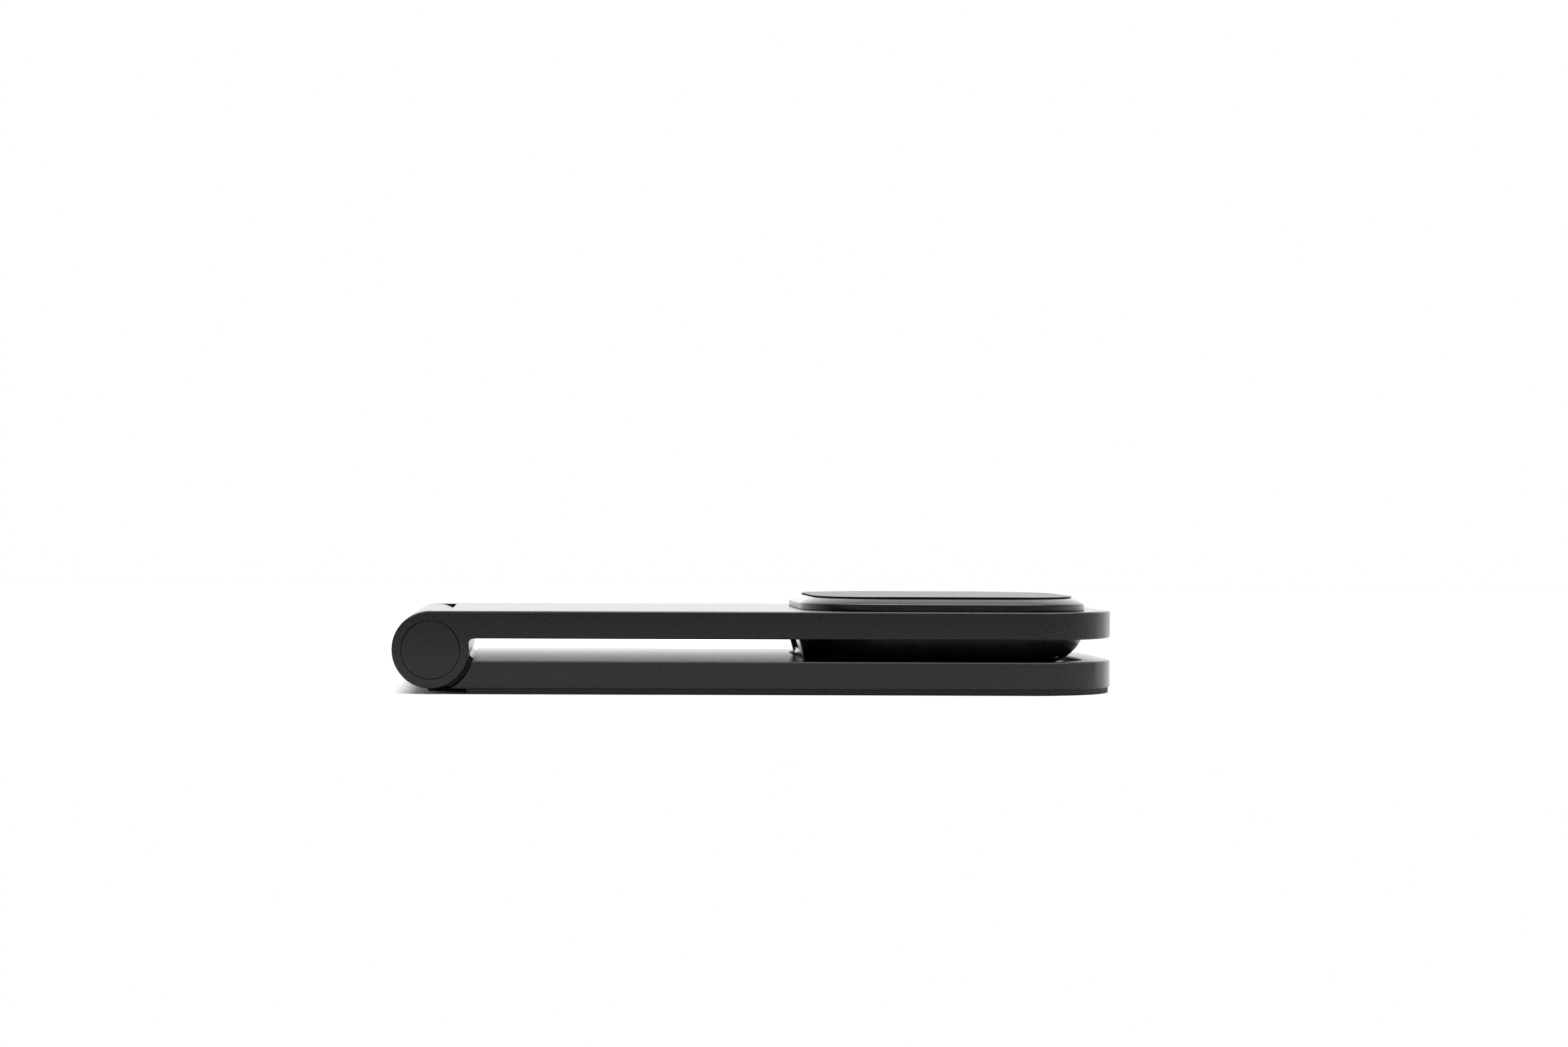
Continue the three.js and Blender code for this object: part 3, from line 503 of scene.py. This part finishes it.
def collar_halves():
    """Half widths of the collars that both shells put round the magnets, inside and outside."""
    low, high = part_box("magnet_ring")
    inner = (high.x - low.x) / 2 + MAGNET_GAP
    return inner, inner + COLLAR_T


def puck_top():
    """The upper shell: an upright side, a curved slope up to the pad, and the recess for the pad's plug."""
    low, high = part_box("puck_top_housing")
    half = (high.x - low.x) / 2
    top = high.z
    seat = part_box("arm_plate")[1].z + SEAM
    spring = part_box("arm_plate")[1].z + SHELL_SIDE
    inner, outer = collar_halves()
    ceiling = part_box("magnet_ring")[1].z + 2 * SEAM
    collar_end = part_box("puck_bowl")[1].z + 2 * SEAM
    plug = (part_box("puck_pad")[1].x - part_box("puck_pad")[0].x) / 2 - PAD_LIP + SEAM
    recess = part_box("puck_pad")[0].z - SEAM
    rise = top - spring
    shoulder = half - SHELL_SLOPE
    profile = [
        (inner, ceiling, 0),
        (inner, collar_end, COLLAR_ROUND),
        (outer, collar_end, COLLAR_ROUND),
        (outer, seat, 0),
        (half, seat, RIM_BREAK),
        (half, spring, SHELL_CREST),
    ]
    slope = []
    start, end = Vector((half, spring)), Vector((shoulder, top))
    steer = Vector((half - SHELL_SLOPE / 3, spring + SLOPE_BULGE * rise))
    for i in range(1, SLOPE_FACETS + 1):
        t = i / SLOPE_FACETS
        p = start * (1 - t) ** 2 + steer * 2 * t * (1 - t) + end * t ** 2
        slope.append((p.x, p.y, 0))
    points = rounded_profile(profile + slope + [(plug, top, RIM_BREAK), (plug, recess, 0)])
    bm = bmesh.new()
    square_body(bm, puck_centre(), points, puck_spread())
    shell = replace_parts(keep_flats_flat(new_object("puck_shell_top", bm, 50)), "puck_top_housing")
    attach(wear(shell, "housing_plastic"), "arm")


def puck_pad():
    """The pad: a thin lip that stands off the shell, highest at the middle of each side, on a plug."""
    low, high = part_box("puck_pad")
    centre = (low + high) / 2
    half = (high.x - low.x) / 2
    plug = half - PAD_LIP
    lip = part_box("puck_top_housing")[1].z + SEAM

    def lift(x, y, z):
        """Nothing on the plug; above it the corners sag below the middle of the sides."""
        if z < lip:
            return 0
        u, v = abs(x - centre.x) / half, abs(y - centre.y) / half
        return -PAD_SAG * min(1, u * v) ** 2

    profile = rounded_profile([
        (plug, low.z, 0),
        (plug, lip + PAD_SAG, 0),
        (half, lip + PAD_SAG, PAD_EDGE_BREAKS[0]),
        (half, high.z, PAD_EDGE_BREAKS[1]),
        (half - PAD_FLAT, high.z, 0),
    ])
    inner_rings = [Vector((half - PAD_FLAT - plug * t, high.z)) for t in PAD_RINGS]
    bm = bmesh.new()
    square_body(bm, centre, profile + inner_rings, puck_spread(), lift)
    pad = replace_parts(keep_flats_flat(new_object("puck_pad_soft", bm, 50)), "puck_pad")
    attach(wear(pad, "pad_silicone"), "arm")


def bowl_curve(rim_half, floor_z, rim_z, steps):
    """From the flat floor round the bottom edge and up the leaning side."""
    points = []
    for i in range(steps + 1):
        a = math.pi / 2 * i / steps
        half = rim_half - BOWL_LEAN * math.cos(a) - BOWL_ROUND * (1 - math.sin(a))
        points.append(Vector((half, rim_z - (rim_z - floor_z) * math.cos(a))))
    return points


def puck_bowl():
    """The lower shell, with the fairing and the port on its hinge side and four screw recesses."""
    low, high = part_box("puck_bowl")
    centre = puck_centre()
    half = (high.x - low.x) / 2
    floor_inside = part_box("circuit_board")[0].z - SEAM  # the board stands on the bowl's floor
    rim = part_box("arm_plate")[1].z - PLATE_T - SEAM
    inner, outer = collar_halves()
    inside = bowl_curve(inner, floor_inside, rim, BOWL_FACETS[0])
    outside = bowl_curve(half, low.z, rim, BOWL_FACETS[1])
    collar = rounded_profile([
        (inner, rim, 0),
        (inner, high.z, COLLAR_ROUND),
        (outer, high.z, COLLAR_ROUND),
        (outer, rim, 0),
        (half, rim, 0),
    ])
    bm = bmesh.new()
    square_body(bm, centre, inside[:-1] + collar[:-1] + list(reversed(outside)), puck_spread())
    bowl = new_object("puck_shell_bowl", bm)

    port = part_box("usb_c_shell")
    fairing = fairing_outline(centre.y, low.z + FAIRING_FOOT, rim)
    front = low.x - FAIRING_OUT
    block = lean_in(prism_along_x("fairing", fairing, front, front + FAIRING_DEPTH), rim)
    boolean(bowl, block, "UNION")
    port_bezel(fairing, port, front, rim)
    hole = prism_along_x("port_hole", port_outline(port, PORT_FIT), low.x - MM, port[1].x + 2 * MM)
    boolean(bowl, hole, "DIFFERENCE")
    for i in range(1, 5):
        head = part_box(f"puck_screw_{i}")
        place = (head[0] + head[1]) / 2
        seat = head[0].z + SCREW_HEAD_H
        boolean(bowl, cylinder("boss", place, SCREW_BOSS_R, head[0].z + BOSS_FOOT, rim), "UNION")
        boolean(bowl, cylinder("recess", place, SCREW_RECESS_R, low.z - MM, seat), "DIFFERENCE")
        boolean(bowl, cylinder("bore", place, SCREW_BORE_R, low.z, rim + MM), "DIFFERENCE")
    bowl.data.shade_smooth()
    bowl.data.set_sharp_from_angle(angle=math.radians(30))
    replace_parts(bowl, "puck_bowl")
    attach(wear(bowl, "bowl_plastic"), "arm")


def fairing_outline(mid_y, bottom, top, facets=16):
    """The fairing's face as (y, z) points: straight at the rim, rounded below."""
    points = [(mid_y + FAIRING_HALF, top), (mid_y - FAIRING_HALF, top)]
    corner = (top - bottom) * FAIRING_ROUND
    for side in (-1, 1):
        for i in range(facets + 1):
            a = math.pi / 2 * (i / facets if side < 0 else 1 - i / facets)
            points.append((
                mid_y + side * (FAIRING_HALF - corner * (1 - math.cos(a))),
                bottom + corner * (1 - math.sin(a)),
            ))
    return points


def lean_in(obj, top):
    """Shears obj so that what lies below top stands back along x."""
    for v in obj.data.vertices:
        v.co.x += FAIRING_LEAN * (top - v.co.z)
    return obj


def port_bezel(outline, port, front, top):
    """A glossy plate on the face of the bowl's fairing, with the port's mouth in it."""
    bezel = lean_in(prism_along_x("port_bezel", outline, front - BEZEL_T, front - BEZEL_SEAM), top)
    mouth = prism_along_x("bezel_mouth", port_outline(port, MOUTH_FIT), front - MM, front + 4 * MM)
    boolean(bezel, mouth, "DIFFERENCE")
    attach(wear(bezel, "housing_plastic"), "arm")


def port_outline(port, grow, facets=12):
    """The port's rectangle with half-round ends, as (y, z) points."""
    low, high = port
    r = (high.z - low.z) / 2 + grow
    mid_z = (high.z + low.z) / 2
    reach = (high.y - low.y) / 2 + grow - r
    mid_y = (high.y + low.y) / 2
    points = []
    for side in (1, -1):
        for i in range(facets + 1):
            a = math.pi * i / facets - math.pi / 2
            points.append((mid_y + side * (reach + r * math.cos(a)), mid_z + side * r * math.sin(a)))
    return points


# ------------------------------------------------------------------ studio

def room():
    """A white room: bright behind the stand, dim behind the camera. The camera itself sees plain white."""
    world = bpy.data.worlds.new("room")
    world.use_nodes = True
    tree = world.node_tree
    sky = tree.nodes["Background"]
    place = tree.nodes.new("ShaderNodeTexCoord")
    split = tree.nodes.new("ShaderNodeSeparateXYZ")
    level = tree.nodes.new("ShaderNodeMapRange")
    level.interpolation_type = "SMOOTHSTEP"
    for socket, value in zip(("From Min", "From Max", "To Min", "To Max"), (*ROOM_SPREAD, *ROOM_LEVELS)):
        level.inputs[socket].default_value = value
    seen = tree.nodes.new("ShaderNodeLightPath")
    pick = tree.nodes.new("ShaderNodeMix")
    pick.inputs["B"].default_value = 1
    tree.links.new(place.outputs["Generated"], split.inputs["Vector"])
    tree.links.new(split.outputs["Y"], level.inputs["Value"])
    tree.links.new(seen.outputs["Is Camera Ray"], pick.inputs["Factor"])
    tree.links.new(level.outputs["Result"], pick.inputs["A"])
    tree.links.new(pick.outputs["Result"], sky.inputs["Strength"])
    sky.inputs["Color"].default_value = (1, 1, 1, 1)
    bpy.context.scene.world = world


def softbox(name, place, size, radiance, aim=(0, 0, 0.01)):
    """A rectangular light of that radiance, facing aim."""
    light = bpy.data.lights.new(name, "AREA")
    light.shape = "RECTANGLE"
    light.size, light.size_y = size
    light.energy = radiance * math.pi * size[0] * size[1]
    lamp = bpy.data.objects.new(name, light)
    lamp.location = place
    lamp.rotation_euler = (Vector(place) - Vector(aim)).to_track_quat("Z", "Y").to_euler()
    bpy.context.scene.collection.objects.link(lamp)


def studio():
    """A pale table that ends before the camera, a white room and a softbox above."""
    bpy.context.scene.view_settings.view_transform = "Standard"
    room()
    bm = bmesh.new()
    front, back = TABLE
    corners = [(-TABLE_SIDE, front), (TABLE_SIDE, front), (TABLE_SIDE, back), (-TABLE_SIDE, back)]
    bm.faces.new([bm.verts.new((x, y, 0)) for x, y in corners])
    floor = new_object("floor", bm)
    floor.data.materials.append(material("floor_paper", (0.9, 0.9, 0.9), 0.9))
    softbox("overhead", (0.0, -0.1, 0.8), (1.3, 0.7), 5.0)


def camera():
    """A lens just above the table, square to the stand's front and shifted sideways to frame it."""
    data = bpy.data.cameras.new("camera")
    data.lens, data.sensor_width = 64.37, 36
    data.clip_start, data.clip_end = 0.01, 20
    cam = bpy.data.objects.new("camera", data)
    cam.location = Vector((-47.43, -608.38, 34.40)) * MM
    pitch, roll = math.radians(-0.075), math.radians(0.18)
    data.shift_x = 0.1626
    cam.matrix_world = (
        Matrix.Translation(cam.location)
        @ Matrix.Rotation(math.pi / 2 - pitch, 4, "X")
        @ Matrix.Rotation(roll, 4, "Z")
    )
    bpy.context.scene.collection.objects.link(cam)
    bpy.context.scene.camera = cam


camera()
studio()
dress_cad_nodes()
plates()
puck_top()
puck_pad()
puck_bowl()
